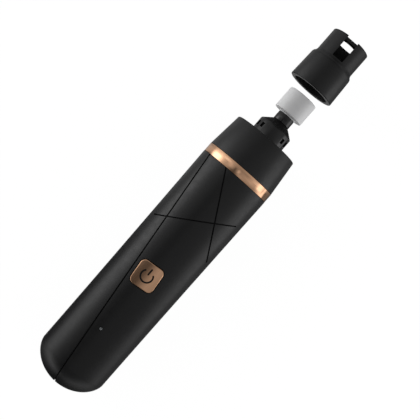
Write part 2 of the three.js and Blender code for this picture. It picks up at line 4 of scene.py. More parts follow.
import bmesh
import bpy
from mathutils import Matrix, Vector


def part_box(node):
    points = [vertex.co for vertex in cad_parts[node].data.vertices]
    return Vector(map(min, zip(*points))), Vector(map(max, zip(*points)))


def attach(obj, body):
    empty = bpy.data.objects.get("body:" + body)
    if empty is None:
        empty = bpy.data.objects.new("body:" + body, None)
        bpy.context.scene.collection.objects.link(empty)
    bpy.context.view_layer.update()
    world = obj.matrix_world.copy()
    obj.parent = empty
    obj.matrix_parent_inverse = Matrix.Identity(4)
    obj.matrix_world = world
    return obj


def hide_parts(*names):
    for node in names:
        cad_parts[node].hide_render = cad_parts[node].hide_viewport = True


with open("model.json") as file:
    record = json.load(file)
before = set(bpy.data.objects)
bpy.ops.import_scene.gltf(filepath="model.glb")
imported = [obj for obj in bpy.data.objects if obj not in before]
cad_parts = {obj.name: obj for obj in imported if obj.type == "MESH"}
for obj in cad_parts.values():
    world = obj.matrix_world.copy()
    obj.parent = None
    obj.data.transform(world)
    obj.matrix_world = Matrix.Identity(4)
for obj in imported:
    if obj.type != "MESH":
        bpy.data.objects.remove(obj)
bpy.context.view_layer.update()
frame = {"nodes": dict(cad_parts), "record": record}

# A cordless nail grinder on its back, guard cap pulled off. Shapes are drawn in millimetres about the
# handle's axis: a station along it from the tail tip, y sideways and z above the axis. place() turns them
# into metres.

MM = 0.001
TAIL_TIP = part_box("rear_housing")[0].x
WHEEL_LOW, WHEEL_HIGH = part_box("grinding_wheel")
AXIS_HEIGHT = (WHEEL_LOW.z + WHEEL_HIGH.z) / 2


def station(x):
    """The station of a row-frame x, in millimetres from the tail tip."""
    return (x - TAIL_TIP) / MM


def place(along, y, z):
    return Vector((TAIL_TIP + along * MM, y * MM, AXIS_HEIGHT + z * MM))


def span(node):
    """First and last station of a CAD node, and half its width in millimetres."""
    low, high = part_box(node)
    return station(low.x), station(high.x), (high.y - low.y) / 2 / MM


# Sizes, from the frame and from the design --------------------------------------------------------------

BACK_DEPTH = AXIS_HEIGHT / MM
TAIL_LENGTH = 12.0
TAIL_POWER = 1.75
TAIL_RADIUS = 16.95
FRONT_RADIUS = 17.6
WALL = 2.4
SPIGOT_RADIUS = 15.0
SPIGOT_BORE = 13.4
SPIGOT_END = span("rear_housing")[1]
BAND_START, BAND_END, BAND_RADIUS = span("trim_band")
COLLAR_END, COLLAR_RADIUS = span("nose_collar")[1:]
COLLAR_FRONT_RADIUS = 15.85
COLLAR_PLATE = 2.1
HUB_START, HUB_END, HUB_FLANGE = span("nose_hub")
HUB_RADIUS = 8.25
HUB_SHOULDER = 147.45
HUB_TIP_RADIUS = 4.2
SLEEVE_BACK = HUB_END + 0.12
SLEEVE_RADIUS = 4.14
CORE_START, CORE_END, CORE_RADIUS = span("wheel_core")
WHEEL_BACK, WHEEL_FRONT, WHEEL_RADIUS = span("grinding_wheel")
CAP_MOUTH, CAP_FRONT, CAP_RADIUS = span("guard_cap")
NICE_GAP = 0.05                   # shadow line between pieces that meet

BUTTON_STATION = sum(span("switch_plunger")[:2]) / 2
BUTTON_LENGTH = 11.7
BUTTON_WIDTH = 11.4
BUTTON_CORNER = 2.4
BUTTON_TURN = math.radians(6)
BUTTON_PROUD = 0.2
BUTTON_CROWN = 30.0               # the pad is flatter than the handle, so its sides stand proud
BUTTON_GAP = 0.22
LENS_STATION = sum(span("indicator_lens")[:2]) / 2
LENS_RADIUS = 0.65

GROOVES = [                       # (station, y) to (station, y), straight when seen from above
    ((120.5, 14.25), (-1.0, 0.25)),
    ((120.5, 5.5), (83.2, -15.6)),
    ((84.3, 15.4), (103.6, -14.9)),
]
GROOVE_STEPS = [(0.5, 0.6), (0.56, 0.07), (0.62, 0.03)]      # (width, depth), a rounded lip in three steps
GROOVE_REACH = 15.55
CREVICE = 0.05                    # depth from which a cut into the shell is in shadow
CREVICE_END = 1.2                 # and to which it is

HOUSING_SCREWS = {"housing_screw_tail": 16.5, "housing_screw_middle": 91.3}
BOARD_SCREWS = (27.5, 76.5)
MOTOR_RIBS = ((101, 102.5), (114.5, 116))
MOTOR_SEAT = 12.2
CELL_RIBS = ((30, 31.5), (74, 75.5))
CELL_SEAT = 9.3
CELL_HEIGHT = -4.4
RIB_RADIUS = 15.2

POCKET_STATION = 144.5
POCKET_LENGTH = 2.4
POCKET_WIDTH = 1.9
POCKET_DEPTH = 0.9
POCKET_ANGLES = (43, 67, 113, 137)
SEAL_START = HUB_SHOULDER + 0.5

SHELL_SIDES = 192
ROUND_SIDES = 128


def housing_radius(along):
    share = max(0.0, (along - TAIL_LENGTH) / (BAND_START - TAIL_LENGTH))
    return TAIL_RADIUS + (FRONT_RADIUS - TAIL_RADIUS) * share ** 1.5


# Camera -------------------------------------------------------------------------------------------------

VIEW_STATION = 105.4              # the camera stands over this point of the axis
VIEW_OFFSET = -1.68
VIEW_HEIGHT = 406.4
VIEW_TILT = math.radians(0.555)   # and leans back towards the tail by this much
VIEW_TURN = math.radians(48.85)   # how far the handle leans up from the picture's lower edge


def make_camera():
    data = bpy.data.cameras.new("camera")
    data.sensor_width = 36.0
    data.lens = 78.95
    data.clip_start = 0.01
    camera = bpy.data.objects.new("camera", data)
    bpy.context.scene.collection.objects.link(camera)
    camera.matrix_world = (
        Matrix.Translation(place(VIEW_STATION, VIEW_OFFSET, VIEW_HEIGHT))
        @ Matrix.Rotation(VIEW_TILT, 4, "Y")
        @ Matrix.Rotation(-VIEW_TURN, 4, "Z")
    )
    bpy.context.scene.camera = camera


# Mesh making --------------------------------------------------------------------------------------------

def link(name, mesh):
    obj = bpy.data.objects.new(name, mesh)
    bpy.context.scene.collection.objects.link(obj)
    return obj


def from_bmesh(name, bm):
    bmesh.ops.remove_doubles(bm, verts=bm.verts, dist=1e-8)
    bmesh.ops.dissolve_degenerate(bm, edges=bm.edges, dist=1e-9)
    bmesh.ops.recalc_face_normals(bm, faces=bm.faces)
    mesh = bpy.data.meshes.new(name)
    bm.to_mesh(mesh)
    bm.free()
    return link(name, mesh)


def revolve(name, outline, sides=ROUND_SIDES, y=0.0, z=0.0):
    """A solid turned about a line along the handle, from (station, radius) points. Its ends close on the
    axis, or the outline closes on itself."""
    bm = bmesh.new()
    rings = []
    for along, radius in outline:
        count = 1 if radius < 1e-6 else sides
        ring = []
        for i in range(count):
            angle = 2 * math.pi * i / sides
            point = place(along, y + radius * math.sin(angle), z + radius * math.cos(angle))
            ring.append(bm.verts.new(point))
        rings.append(ring)
    closed = len(rings[0]) > 1
    pairs = list(zip(rings, rings[1:]))
    if closed:
        pairs.append((rings[-1], rings[0]))
    for a, b in pairs:
        for i in range(sides):
            j = (i + 1) % sides
            corners = [a[i % len(a)], a[j % len(a)], b[j % len(b)], b[i % len(b)]]
            unique = list(dict.fromkeys(corners))
            if len(unique) > 2:
                bm.faces.new(unique)
    return from_bmesh(name, bm)


def tower(name, outline, x, y, sides=48):
    """A solid turned about an upright line, from (height above the axis, radius) points."""
    bm = bmesh.new()
    rings = []
    for height, radius in outline:
        count = 1 if radius < 1e-6 else sides
        angles = [2 * math.pi * i / sides for i in range(count)]
        points = [place(x + radius * math.cos(a), y + radius * math.sin(a), height) for a in angles]
        rings.append([bm.verts.new(point) for point in points])
    for a, b in zip(rings, rings[1:]):
        for i in range(sides):
            j = (i + 1) % sides
            corners = [a[i % len(a)], a[j % len(a)], b[j % len(b)], b[i % len(b)]]
            unique = list(dict.fromkeys(corners))
            if len(unique) > 2:
                bm.faces.new(unique)
    return from_bmesh(name, bm)


def prism(name, loop, low, high, axis="z"):
    """A prism of a flat loop: (station, y) points raised from low to high, or (y, z) points run along x."""
    bm = bmesh.new()
    if axis == "z":
        ends = [[place(a, b, level) for a, b in loop] for level in (low, high)]
    else:
        ends = [[place(level, a, b) for a, b in loop] for level in (low, high)]
    bottom = [bm.verts.new(p) for p in ends[0]]
    top = [bm.verts.new(p) for p in ends[1]]
    bm.faces.new(bottom)
    bm.faces.new(top)
    for i in range(len(loop)):
        j = (i + 1) % len(loop)
        bm.faces.new([bottom[i], bottom[j], top[j], top[i]])
    return from_bmesh(name, bm)


def box(name, x, y, z):
    return prism(name, [(x[0], y[0]), (x[1], y[0]), (x[1], y[1]), (x[0], y[1])], z[0], z[1])


def rounded_loop(length, width, corner, steps=10, turn=0.0, centre=(0.0, 0.0)):
    points = []
    for quarter in range(4):
        cx = (length / 2 - corner) * (1 if quarter in (0, 3) else -1)
        cy = (width / 2 - corner) * (1 if quarter in (0, 1) else -1)
        for i in range(steps + 1):
            angle = (quarter + i / steps) * math.pi / 2
            x = cx + corner * math.cos(angle)
            y = cy + corner * math.sin(angle)
            points.append((
                centre[0] + x * math.cos(turn) - y * math.sin(turn),
                centre[1] + x * math.sin(turn) + y * math.cos(turn),
            ))
    return points


def sector_loop(inner, outer, start, end, steps):
    angles = [math.radians(start + (end - start) * i / steps) for i in range(steps + 1)]
    points = [(outer * math.cos(a), outer * math.sin(a)) for a in angles]
    points += [(inner * math.cos(a), inner * math.sin(a)) for a in reversed(angles)]
    return points


def settle(obj):
    """Applies an object's modifiers to its mesh."""
    bpy.context.view_layer.update()
    graph = bpy.context.evaluated_depsgraph_get()
    mesh = bpy.data.meshes.new_from_object(obj.evaluated_get(graph))
    obj.modifiers.clear()
    old = obj.data
    obj.data = mesh
    bpy.data.meshes.remove(old)


def combine(obj, tool, operation):
    modifier = obj.modifiers.new("combine", "BOOLEAN")
    modifier.operation = operation
    modifier.solver = "MANIFOLD"
    modifier.object = tool
    settle(obj)
    mesh = tool.data
    bpy.data.objects.remove(tool)
    bpy.data.meshes.remove(mesh)
    return obj


def cut(obj, *tools):
    for tool in tools:
        combine(obj, tool, "DIFFERENCE")
    return obj


def join(obj, *tools):
    for tool in tools:
        combine(obj, tool, "UNION")
    return obj


def keep(obj, tool):
    return combine(obj, tool, "INTERSECT")


def smooth(obj, angle=30.0):
    obj.data.shade_smooth()
    obj.data.set_sharp_from_angle(angle=math.radians(angle))
    return obj


def true_normals(obj, radius_at, tolerance=0.12):
    """Gives the outside of a turned piece the normals of its true round surface, whatever cuts it."""
    mesh = obj.data
    smooth(obj)
    normals = [Vector((0.0, 0.0, 0.0))] * len(mesh.loops)
    for face in mesh.polygons:
        for index in face.loop_indices:
            point = mesh.vertices[mesh.loops[index].vertex_index].co
            along = station(point.x)
            across = Vector((0.0, point.y, point.z - AXIS_HEIGHT)) / MM
            radius = radius_at(along)
            if radius is None or abs(across.length - radius) > tolerance:
                continue
            slope = (radius_at(along + 0.05) - radius_at(along - 0.05)) / 0.1
            normal = (across.normalized() + Vector((-slope, 0.0, 0.0))).normalized()
            if normal.dot(face.normal) > 0.94:
                normals[index] = normal
    mesh.normals_split_custom_set(normals)
    return obj


# Materials ----------------------------------------------------------------------------------------------

def shader(name, colour, roughness, metallic=0.0, **sockets):
    material = bpy.data.materials.new(name)
    material.use_nodes = True
    bsdf = material.node_tree.nodes["Principled BSDF"]
    bsdf.inputs["Base Color"].default_value = (*colour, 1.0)
    bsdf.inputs["Roughness"].default_value = roughness
    bsdf.inputs["Metallic"].default_value = metallic
    for socket, value in sockets.items():
        bsdf.inputs[socket.replace("_", " ")].default_value = value
    return material


def node(material, kind, **values):
    made = material.node_tree.nodes.new(kind)
    for key, value in values.items():
        if key in made.inputs:
            made.inputs[key].default_value = value
        else:
            setattr(made, key, value)
    return made


def wire(material, source, target):
    material.node_tree.links.new(source, target)


def grain(material, scale, detail=3.0, stretch=(1.0, 1.0, 1.0), offset=0.0):
    """A noise pattern fixed to the piece, as a factor from 0 to 1."""
    place_node = node(material, "ShaderNodeTexCoord")
    mapping = node(material, "ShaderNodeMapping", Scale=stretch, Location=(offset, 0.0, 0.0))
    pattern = node(material, "ShaderNodeTexNoise", Scale=scale, Detail=detail)
    wire(material, place_node.outputs["Object"], mapping.inputs["Vector"])
    wire(material, mapping.outputs["Vector"], pattern.inputs["Vector"])
    return pattern.outputs["Fac"]


def vary(material, socket, factor, low, high):
    """Drives a shader number between low and high by a factor."""
    bsdf = material.node_tree.nodes["Principled BSDF"]
    spread = node(material, "ShaderNodeMapRange")
    spread.inputs["From Min"].default_value = 0.3
    spread.inputs["From Max"].default_value = 0.7
    spread.inputs["To Min"].default_value = low
    spread.inputs["To Max"].default_value = high
    wire(material, factor, spread.inputs["Value"])
    wire(material, spread.outputs["Result"], bsdf.inputs[socket])


def tint(material, factor, dark, light):
    bsdf = material.node_tree.nodes["Principled BSDF"]
    ramp = node(material, "ShaderNodeValToRGB")
    ramp.color_ramp.elements[0].position = 0.3
    ramp.color_ramp.elements[0].color = (*dark, 1.0)
    ramp.color_ramp.elements[1].position = 0.7
    ramp.color_ramp.elements[1].color = (*light, 1.0)
    wire(material, factor, ramp.inputs["Fac"])
    wire(material, ramp.outputs["Color"], bsdf.inputs["Base Color"])


def bump(material, factor, distance, strength=1.0):
    bsdf = material.node_tree.nodes["Principled BSDF"]
    relief = node(material, "ShaderNodeBump", Strength=strength, Distance=distance)
    wire(material, factor, relief.inputs["Height"])
    wire(material, relief.outputs["Normal"], bsdf.inputs["Normal"])


def satin_black_plastic():
    material = shader("satin_black_plastic", (0.005, 0.005, 0.0055), 0.36)
    tint(material, grain(material, 60, 2), (0.0042, 0.0042, 0.0046), (0.0062, 0.0062, 0.0068))
    vary(material, "Roughness", grain(material, 420, 4, offset=3.0), 0.32, 0.4)
    bump(material, grain(material, 5200, 2), 0.000012, 0.25)
    return material


def gloss_black_plastic():
    material = shader("gloss_black_plastic", (0.004, 0.004, 0.0045), 0.12)
    tint(material, grain(material, 80, 2), (0.0035, 0.0035, 0.004), (0.005, 0.005, 0.0056))
    vary(material, "Roughness", grain(material, 600, 3), 0.09, 0.16)
    bump(material, grain(material, 900, 2), 0.00001, 0.15)
    return material


def rose_gold(name, stretch):
    material = shader(name, (0.86, 0.505, 0.31), 0.15, 1.0)
    brushed = grain(material, 1.0, 4, stretch)
    tint(material, brushed, (0.81, 0.47, 0.285), (0.91, 0.545, 0.34))
    vary(material, "Roughness", grain(material, 1.0, 3, stretch, 7.0), 0.08, 0.14)
    bump(material, brushed, 0.000006, 0.3)
    return material


def grey_abrasive():
    material = shader("grey_abrasive", (0.86, 0.86, 0.865), 0.42)
    specks = grain(material, 5200, 4)
    tint(material, specks, (0.8, 0.8, 0.805), (0.92, 0.92, 0.925))
    vary(material, "Roughness", grain(material, 2600, 3, offset=4.0), 0.28, 0.4)
    bump(material, specks, 0.00003, 0.5)
    return material


def moulded(name, colour, roughness, spread=0.12):
    material = shader(name, colour, roughness)
    dark = tuple(c * (1 - spread) for c in colour)
    light = tuple(min(1.0, c * (1 + spread)) for c in colour)
    tint(material, grain(material, 250, 3), dark, light)
    vary(material, "Roughness", grain(material, 700, 3, offset=2.0), roughness * 0.85, roughness * 1.15)
    bump(material, grain(material, 2600, 2), 0.00001, 0.2)
    return material


def metal(name, colour, roughness, stretch=(1.0, 1.0, 1.0), scale=900.0):
    material = shader(name, colour, roughness, 1.0)
    worked = grain(material, scale, 3, stretch)
    tint(material, worked, tuple(c * 0.9 for c in colour), tuple(min(1.0, c * 1.08) for c in colour))
    wear = grain(material, scale / 2, 3, stretch, 5.0)
    vary(material, "Roughness", wear, roughness * 0.8, roughness * 1.25)
    bump(material, worked, 0.000006, 0.3)
    return material


def clear_lens():
    material = shader("clear_lens", (0.55, 0.58, 0.6), 0.12, Transmission_Weight=0.6, IOR=1.49)
    vary(material, "Roughness", grain(material, 800, 2), 0.08, 0.18)
    return material


def seal_black():
    """The dull, slightly furry black of the seal round the spindle."""
    material = shader("seal_black", (0.004, 0.004, 0.004), 0.6)
    material.node_tree.nodes["Principled BSDF"].inputs["Specular IOR Level"].default_value = 0.22
    tint(material, grain(material, 900, 3), (0.003, 0.003, 0.003), (0.0055, 0.0055, 0.0055))
    vary(material, "Roughness", grain(material, 1500, 3, offset=2.0), 0.5, 0.7)
    bump(material, grain(material, 4200, 3), 0.00002, 0.4)
    return material


def make_materials():
    flow = (60.0, 5200.0, 5200.0)
    around = (9000.0, 120.0, 120.0)
    return {
        "satin_black_plastic": satin_black_plastic(),
        "gloss_black_plastic": gloss_black_plastic(),
        "rose_gold_trim": rose_gold("rose_gold_trim", around),
        "rose_gold_button": rose_gold("rose_gold_button", flow),
        "grey_abrasive": grey_abrasive(),
        "pale_plastic": moulded("pale_plastic", (0.66, 0.66, 0.67), 0.45, 0.08),
        "clear_lens": clear_lens(),
        "white_nylon": moulded("white_nylon", (0.7, 0.68, 0.62), 0.5, 0.06),
        "steel": metal("steel", (0.5, 0.51, 0.53), 0.3, (1.0, 6.0, 6.0)),
        "capacitor_can": metal("capacitor_can", (0.62, 0.63, 0.65), 0.25),
        "sintered_bronze": metal("sintered_bronze", (0.4, 0.28, 0.12), 0.45, scale=2600.0),
        "copper": metal("copper", (0.72, 0.3, 0.14), 0.25, (8.0, 1.0, 1.0)),
        "ferrite": moulded("ferrite", (0.045, 0.045, 0.048), 0.7),
        "carbon": moulded("carbon", (0.03, 0.03, 0.03), 0.6),
        "cell_wrap": moulded("cell_wrap", (0.03, 0.16, 0.4), 0.35, 0.08),
        "board_green": moulded("board_green", (0.015, 0.11, 0.045), 0.35, 0.2),
        "chip_black": moulded("chip_black", (0.014, 0.014, 0.015), 0.5),
        "led_package": moulded("led_package", (0.75, 0.74, 0.7), 0.4, 0.05),
        "red_lead": moulded("red_lead", (0.45, 0.015, 0.012), 0.4),
        "black_lead": moulded("black_lead", (0.01, 0.01, 0.01), 0.4),
        "symbol_fill": moulded("symbol_fill", (0.006, 0.003, 0.002), 0.7),
        "seal_black": seal_black(),
        # painted shade: a darker black for the inside of the guard cap
        "painted_inside_shade": moulded("painted_inside_shade", (0.0022, 0.0022, 0.0024), 0.55),
        # painted shade: a darker black for the faces of cuts into the handle's shell
        "painted_crevice_shade": moulded("painted_crevice_shade", (0.0008, 0.0008, 0.0009), 0.9),
    }


def paint_crevice_shade(obj, materials, radius_at):
    """Paints shade into the cuts just under the handle's skin: their faces get a darker black, painted shade
    where a narrow gap is in shadow.
    """
    obj.data.materials.append(materials["painted_crevice_shade"])
    for face in obj.data.polygons:
        radius = radius_at(station(face.center.x))
        across = math.hypot(face.center.y, face.center.z - AXIS_HEIGHT) / MM
        if CREVICE < radius - across < CREVICE_END:
            face.material_index = 1


def dress(obj, materials, slot, finish=None):
    obj.data.materials.clear()
    obj.data.materials.append(materials[finish or slot])


def dress_cad_nodes(materials):
    slots = {row["node"]: row["material_slot"] for row in frame["record"]["subparts"]}
    for name, obj in frame["nodes"].items():
        for entry in obj.material_slots:
            entry.material = materials[slots[name]]


# Handle -------------------------------------------------------------------------------------------------

def handle_outline(inset, tail_steps, body_steps, end):
    tail = TAIL_LENGTH - inset
    points = []
    for i in range(tail_steps):
        back = math.cos(i / tail_steps * math.pi / 2)
        points.append((TAIL_LENGTH - tail * back, (TAIL_RADIUS - inset) * math.sqrt(1 - back ** TAIL_POWER)))
    for i in range(body_steps + 1):
        along = TAIL_LENGTH + (end - TAIL_LENGTH) * i / body_steps
        points.append((along, housing_radius(along) - inset))
    return points


def handle_radius(along):
    if along >= BAND_START:
        return housing_radius(BAND_START)
    if along >= TAIL_LENGTH:
        return housing_radius(along)
    back = (TAIL_LENGTH - along) / TAIL_LENGTH
    return TAIL_RADIUS * math.sqrt(max(0.0, 1 - back ** TAIL_POWER))


HOUSING_FRONT = BAND_START - NICE_GAP
LIP = 0.15                        # rounding where the housing, band and collar meet


def shell_solid(name):
    outside = handle_outline(0.0, 40, 24, HOUSING_FRONT - LIP)
    outside += [(HOUSING_FRONT - 0.04, outside[-1][1] - 0.045), (HOUSING_FRONT, outside[-1][1] - LIP)]
    outside += [(HOUSING_FRONT, SPIGOT_RADIUS), (SPIGOT_END, SPIGOT_RADIUS), (SPIGOT_END, 0.0)]
    hollow = handle_outline(WALL, 16, 6, HOUSING_FRONT - 2 * WALL)
    hollow += [(HOUSING_FRONT - WALL, SPIGOT_BORE), (SPIGOT_END + 1, SPIGOT_BORE), (SPIGOT_END + 1, 0.0)]
    shell = revolve(name, outside, SHELL_SIDES)
    return cut(shell, revolve("hollow", hollow, 96))


def skin(depth):
    """The outermost layer of the handle, down to a depth, and the air just above it."""
    above = handle_outline(-0.6, 40, 24, BAND_START + 1)
    below = handle_outline(depth, 40, 24, BAND_START + 1)
    return revolve("skin", above + below[::-1], SHELL_SIDES)


def slab(start, end, width):
    middle = ((start[0] + end[0]) / 2, (start[1] + end[1]) / 2)
    length = math.hypot(end[0] - start[0], end[1] - start[1])
    turn = math.atan2(end[1] - start[1], end[0] - start[0])
    loop = []
    for u, v in ((-1, -1), (1, -1), (1, 1), (-1, 1)):
        x, y = u * length / 2, v * width / 2
        loop.append((
            middle[0] + x * math.cos(turn) - y * math.sin(turn),
            middle[1] + x * math.sin(turn) + y * math.cos(turn),
        ))
    return prism("slab", loop, 1.0, 25.0)


def cut_grooves(shell):
    for start, end in GROOVES:
        for width, depth in GROOVE_STEPS:
            tool = keep(skin(depth), slab(start, end, width))
            reach = box("reach", (-5, 125), (-GROOVE_REACH, GROOVE_REACH), (0, 30))
            cut(shell, keep(tool, reach))


def cut_seam(shell, side):
    """The soft lip along the parting line, on the button side (+1) or the back (-1)."""
    for height, depth in ((0.09, 0.16), (0.16, 0.06)):
        low, high = sorted((0.0, side * height))
        cut(shell, keep(skin(depth), box("lip", (-5, BAND_START), (-25, 25), (low, high))))


def socket_opening():
    return prism("socket_opening", rounded_loop(9.5, 3.7, 1.8), -2, 4.6, "x")


def seat_rib(start, end, seat_radius, seat_height, side):
    rib = revolve("rib", [(start, 0), (start, RIB_RADIUS), (end, RIB_RADIUS), (end, 0)], 96)
    seat = [(start - 1, 0), (start - 1, seat_radius), (end + 1, seat_radius), (end + 1, 0)]
    cut(rib, revolve("seat", seat, 64, z=seat_height))
    low, high = sorted((side * 0.3, side * 30))
    return keep(rib, box("half", (0, 200), (-30, 30), (low, high)))


def front_shell(materials):
    shell = keep(shell_solid("front_shell"), box("half", (-5, 200), (-30, 30), (0.02, 30)))
    cut_seam(shell, 1)
    cut_grooves(shell)
    for start, end in MOTOR_RIBS:
        join(shell, seat_rib(start, end, MOTOR_SEAT, 0.0, 1))
    # Screw posts, each with its station, radius, foot, pilot radius and pilot depth.
    posts = [(along, 3.0, 0.5, 1.35, 7.0) for along in HOUSING_SCREWS.values()]
    posts += [(along, 2.4, 8.7, 1.2, 13.0) for along in BOARD_SCREWS]
    for along, radius, low, hole, deep in posts:
        join(shell, tower("post", [(low, 0), (low, radius), (RIB_RADIUS, radius), (RIB_RADIUS, 0)], along, 0))
        cut(shell, tower("pilot", [(low - 1, 0), (low - 1, hole), (deep, hole), (deep, 0)], along, 0))
    for grow, depth in ((0.0, 9.0), (0.12, 0.07), (0.05, 0.14)):
        loop = rounded_loop(
            BUTTON_LENGTH + 2 * (BUTTON_GAP + grow), BUTTON_WIDTH + 2 * (BUTTON_GAP + grow),
            BUTTON_CORNER + BUTTON_GAP + grow, 12, BUTTON_TURN, (BUTTON_STATION, 0.0))
        cut(shell, keep(skin(depth), prism("button_hole", loop, 2, 30)))
    for radius, depth in ((LENS_RADIUS + 0.03, 6.0), (LENS_RADIUS + 0.28, 0.1)):
        tube = tower("lens_hole", [(2, 0), (2, radius), (30, radius), (30, 0)], LENS_STATION, 0, 32)
        cut(shell, keep(skin(depth), tube))
    cut(shell, socket_opening())
    true_normals(shell, handle_radius)
    dress(shell, materials, "satin_black_plastic")
    # painted shade in the grooves, seam, button and lens holes and socket opening
    paint_crevice_shade(shell, materials, handle_radius)
    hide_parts("front_housing")
    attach(shell, "handle")


def rear_shell(materials):
    shell = keep(shell_solid("rear_shell"), box("half", (-5, 200), (-30, 30), (-BACK_DEPTH, -0.02)))
    cut_seam(shell, -1)
    for start, end in CELL_RIBS:
        join(shell, seat_rib(start, end, CELL_SEAT, CELL_HEIGHT, -1))
    for start, end in MOTOR_RIBS:
        join(shell, seat_rib(start, end, MOTOR_SEAT, 0.0, -1))
    for side in (-1, 1):
        join(shell, box("ledge", (6.5, 10.5), sorted((4 * side, 12 * side)), (-5.0, -3.4)))
    for along in HOUSING_SCREWS.values():
        join(shell, tower("boss", [(-15.2, 0), (-15.2, 3.5), (-0.5, 3.5), (-0.5, 0)], along, 0))
        cut(shell, tower("way", [(-20, 0), (-20, 1.45), (5, 1.45), (5, 0)], along, 0))
        sink = [(-20, 0), (-20, 2.75), (-BACK_DEPTH + 0.15, 2.6), (-8.6, 2.6), (-8.6, 0)]
        cut(shell, tower("sink", sink, along, 0))
    cut(shell, socket_opening())
    true_normals(shell, handle_radius)
    dress(shell, materials, "satin_black_plastic")
    # painted shade in the seam, screw sinks and socket opening
    paint_crevice_shade(shell, materials, lambda along: handle_radius(along) if along < HOUSING_FRONT else 0.0)
    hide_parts("rear_housing")
    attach(shell, "handle")


def flatten_back(obj):
    """Lets the underside of a ring down onto the flat that the grinder rests on."""
    for vertex in obj.data.vertices:
        vertex.co.z = max(vertex.co.z, 0.0)


def arc_corner(start, end, bulge, steps=5):
    """Points of a quarter-round from start to end, in (station, radius), about the corner named bulge."""
    points = []
    for i in range(steps + 1):
        t = i / steps * math.pi / 2
        points.append((
            bulge[0] + (start[0] - bulge[0]) * (1 - math.sin(t)) + (end[0] - bulge[0]) * (1 - math.cos(t)),
            bulge[1] + (start[1] - bulge[1]) * (1 - math.sin(t)) + (end[1] - bulge[1]) * (1 - math.cos(t)),
        ))
    return points


def rounded_outline(corners):
    """An outline whose corners are (station, radius, rounding). A rounding of 0 keeps the corner sharp."""
    points = []
    count = len(corners)
    for i, (x, r, rounding) in enumerate(corners):
        if not rounding:
            points.append((x, r))
            continue
        here = Vector((x, r))
        before = Vector(corners[i - 1][:2]) - here
        after = Vector(corners[(i + 1) % count][:2]) - here
        start = here + before.normalized() * rounding
        end = here + after.normalized() * rounding
        points += arc_corner(start, end, here)
    return points


def trim_band(materials):
    start, end = BAND_START + NICE_GAP / 2, BAND_END - NICE_GAP / 2
    outline = rounded_outline([
        (start, SPIGOT_RADIUS + 0.1, 0), (start, BAND_RADIUS, 0.14),
        (end, BAND_RADIUS, 0.14), (end, SPIGOT_RADIUS + 0.1, 0),
    ])
    band = revolve("rose_band", outline, SHELL_SIDES)
    flatten_back(band)
    smooth(band)
    dress(band, materials, "rose_gold_trim")
    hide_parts("trim_band")
    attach(band, "handle")


def nose_collar(materials):
    back = BAND_END + NICE_GAP / 2
    plate = COLLAR_END - COLLAR_PLATE
    bore = HUB_RADIUS + 0.08
    outline = rounded_outline([
        (back, SPIGOT_RADIUS + 0.1, 0), (back, COLLAR_RADIUS, 0.14),
        (COLLAR_END, COLLAR_FRONT_RADIUS, 0.45), (COLLAR_END, bore, 0.15),
        (plate, bore, 0), (plate, 13.6, 0), (SPIGOT_END + 1, 14.2, 0),
        (SPIGOT_END + 1, SPIGOT_RADIUS + 0.1, 0),
    ])
    collar = revolve("taper_collar", outline, SHELL_SIDES)
    flatten_back(collar)
    smooth(collar)
    dress(collar, materials, "satin_black_plastic")
    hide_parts("nose_collar")
    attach(collar, "handle")


def nose_hub(materials):
    outline = rounded_outline([
        (HUB_START, 6.2, 0), (HUB_START, HUB_FLANGE, 0.2), (HUB_START + 2, HUB_FLANGE, 0.2),
        (HUB_START + 2, HUB_RADIUS, 0), (HUB_SHOULDER, HUB_RADIUS, 0.35), (HUB_END, HUB_TIP_RADIUS, 0.15),
        (HUB_END, 3.0, 0), (148, 3.0, 0), (148, 4.0, 0), (143, 4.0, 0), (143, 6.2, 0),
    ])
    hub = revolve("glossy_hub", outline)
    for side in (1, -1):
        for angle in POCKET_ANGLES:
            loop = rounded_loop(POCKET_LENGTH, POCKET_WIDTH, 0.3, 4, 0.0, (POCKET_STATION, 0.0))
            pocket = prism("pocket", loop, HUB_RADIUS - POCKET_DEPTH, HUB_RADIUS + 1)
            pivot = place(0, 0, 0)
            pocket.data.transform(
                Matrix.Translation(pivot) @ Matrix.Rotation(math.radians(side * angle), 4, "X")
                @ Matrix.Translation(-pivot))
            cut(hub, pocket)
    smooth(hub)
    dress(hub, materials, "gloss_black_plastic")
    hub.data.materials.append(materials["seal_black"])
    for face in hub.data.polygons:
        if station(face.center.x) > SEAL_START:
            face.material_index = 1
    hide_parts("nose_hub")
    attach(hub, "handle")


def indicator(materials):
    top = housing_radius(LENS_STATION) - 0.1
    outline = [(10, 0), (10, LENS_RADIUS), (13, LENS_RADIUS), (13, 1.6), (14, 1.6), (14, LENS_RADIUS)]
    rim = [
        (-0.1, 1.0), (0.0, 0.94), (0.04, 0.84), (0.04, 0.7),
        (0.0, 0.6), (-0.1, 0.5), (-0.16, 0.3), (-0.18, 0.0),
    ]
    outline += [(top + rise, LENS_RADIUS * share) for rise, share in rim]
    lens = tower("status_lens", outline, LENS_STATION, 0, 32)
    smooth(lens)
    dress(lens, materials, "clear_lens")
    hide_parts("indicator_lens")
    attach(lens, "handle")


def housing_screw(materials, node, along):
    head, shank = 2.3, 1.15
    outline = [
        (-10.6, 0), (-10.6, 1.75), (-10.53, 1.95), (-10.3, 2.16), (-10.0, 2.27), (-9.8, head), (-8.9, head),
    ]
    screw = tower(node + "_piece", outline + [(-8.9, shank), (6, shank), (6, 0)], along, 0)
    for long_side, short_side in ((2.7, 0.55), (0.55, 2.7)):
        loop = rounded_loop(long_side, short_side, 0.2, 4, 0.0, (along, 0.0))
        cut(screw, prism("recess", loop, -12, -9.6))
    smooth(screw)
    dress(screw, materials, "steel")
    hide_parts(node)
    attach(screw, "handle")


